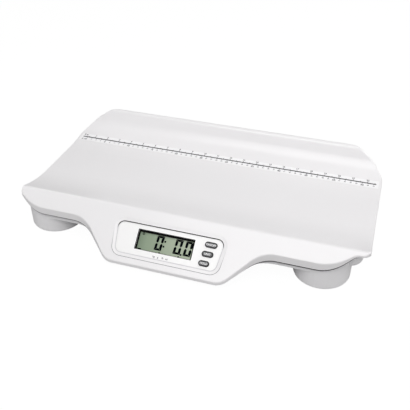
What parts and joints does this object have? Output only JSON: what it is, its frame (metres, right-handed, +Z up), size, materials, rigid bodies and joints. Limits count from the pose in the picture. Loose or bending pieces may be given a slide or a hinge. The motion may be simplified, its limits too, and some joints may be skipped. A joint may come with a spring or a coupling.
{
  "type": "digital baby weighing scale",
  "caption": "Digital baby weighing scale: long curved cradle tray with a raised back edge over a low base with round feet, sloped display panel with push buttons in front.",
  "frame": {"origin": "on the surface the scale stands on, under the middle of its length and depth", "axes": "+X along the tray to the right seen from the front, +Y from the display to the raised back edge, +Z up"},
  "size_m": [0.593, 0.34, 0.1059],
  "materials": {
    "tray_white": "semi-gloss moulded white ABS",
    "base_white": "semi-gloss moulded white ABS, a little greyer",
    "panel_white": "smooth glossy white sheet",
    "frame_black": "glossy black",
    "display_glass": "polarised grey-green display glass",
    "soft_grey": "layered conductive rubber",
    "board_green": "printed circuit board",
    "part_black": "black electronic parts",
    "plug_white": "nylon connector",
    "key_grey": "dark grey silicone rubber",
    "foot_plastic": "moulded pale grey ABS",
    "sole_rubber": "grey non-slip rubber",
    "cell_steel": "stamped and ground steel",
    "battery_jacket": "wrapped cell can",
    "contact_metal": "nickel-plated spring steel",
    "screw_steel": "zinc-plated steel"
  },
  "bodies": {
    "scale_body": {"battery_1": "battery_jacket", "battery_2": "battery_jacket", "battery_3": "battery_jacket", "battery_4": "battery_jacket", "battery_springs": "contact_metal", "board_screws": "screw_steel", "buzzer": "part_black", "cell_holder_back_left": "foot_plastic", "cell_holder_back_right": "foot_plastic", "cell_holder_front_left": "foot_plastic", "cell_holder_front_right": "foot_plastic", "cell_plug": "plug_white", "cell_screws": "screw_steel", "contact_plates": "contact_metal", "driver_chip": "part_black", "lcd_frame": "frame_black", "lcd_glass": "display_glass", "lcd_strips": "soft_grey", "load_cell_back_left": "cell_steel", "load_cell_back_right": "cell_steel", "load_cell_front_left": "cell_steel", "load_cell_front_right": "cell_steel", "lower_shell": "base_white", "main_board": "board_green", "panel_plate": "panel_white", "shell_screws": "screw_steel", "tact_switches": "part_black", "tray_shell": "tray_white"},
    "power_key": {"key_power": "key_grey", "plunger_power": "part_black"},
    "unit_key": {"key_unit": "key_grey", "plunger_unit": "part_black"},
    "hold_key": {"key_hold": "key_grey", "plunger_hold": "part_black"},
    "front_left_foot": {"foot_front_left": "foot_plastic", "foot_sole_front_left": "sole_rubber"},
    "front_right_foot": {"foot_front_right": "foot_plastic", "foot_sole_front_right": "sole_rubber"},
    "back_left_foot": {"foot_back_left": "foot_plastic", "foot_sole_back_left": "sole_rubber"},
    "back_right_foot": {"foot_back_right": "foot_plastic", "foot_sole_back_right": "sole_rubber"},
    "door": {"battery_door": "base_white"}
  },
  "joints": [
    {"name": "power_key_press", "type": "slide", "parent": "scale_body", "child": "power_key", "axis": [0, 0.66, -0.7513], "range_m": [0, 0.0008], "stiffness_N_per_m": 1500, "springref_m": -0.0004},
    {"name": "unit_key_press", "type": "slide", "parent": "scale_body", "child": "unit_key", "axis": [0, 0.66, -0.7513], "range_m": [0, 0.0008], "stiffness_N_per_m": 1500, "springref_m": -0.0004},
    {"name": "hold_key_press", "type": "slide", "parent": "scale_body", "child": "hold_key", "axis": [0, 0.66, -0.7513], "range_m": [0, 0.0008], "stiffness_N_per_m": 1500, "springref_m": -0.0004},
    {"name": "front_left_foot_load", "type": "slide", "parent": "scale_body", "child": "front_left_foot", "axis": [0, 0, 1], "range_m": [0, 0.0008], "stiffness_N_per_m": 30000},
    {"name": "front_right_foot_load", "type": "slide", "parent": "scale_body", "child": "front_right_foot", "axis": [0, 0, 1], "range_m": [0, 0.0008], "stiffness_N_per_m": 30000},
    {"name": "back_left_foot_load", "type": "slide", "parent": "scale_body", "child": "back_left_foot", "axis": [0, 0, 1], "range_m": [0, 0.0008], "stiffness_N_per_m": 30000},
    {"name": "back_right_foot_load", "type": "slide", "parent": "scale_body", "child": "back_right_foot", "axis": [0, 0, 1], "range_m": [0, 0.0008], "stiffness_N_per_m": 30000},
    {"name": "battery_door_slide", "type": "slide", "parent": "scale_body", "child": "door", "axis": [0, 1, 0], "range_m": [0, 0.045]}
  ]
}
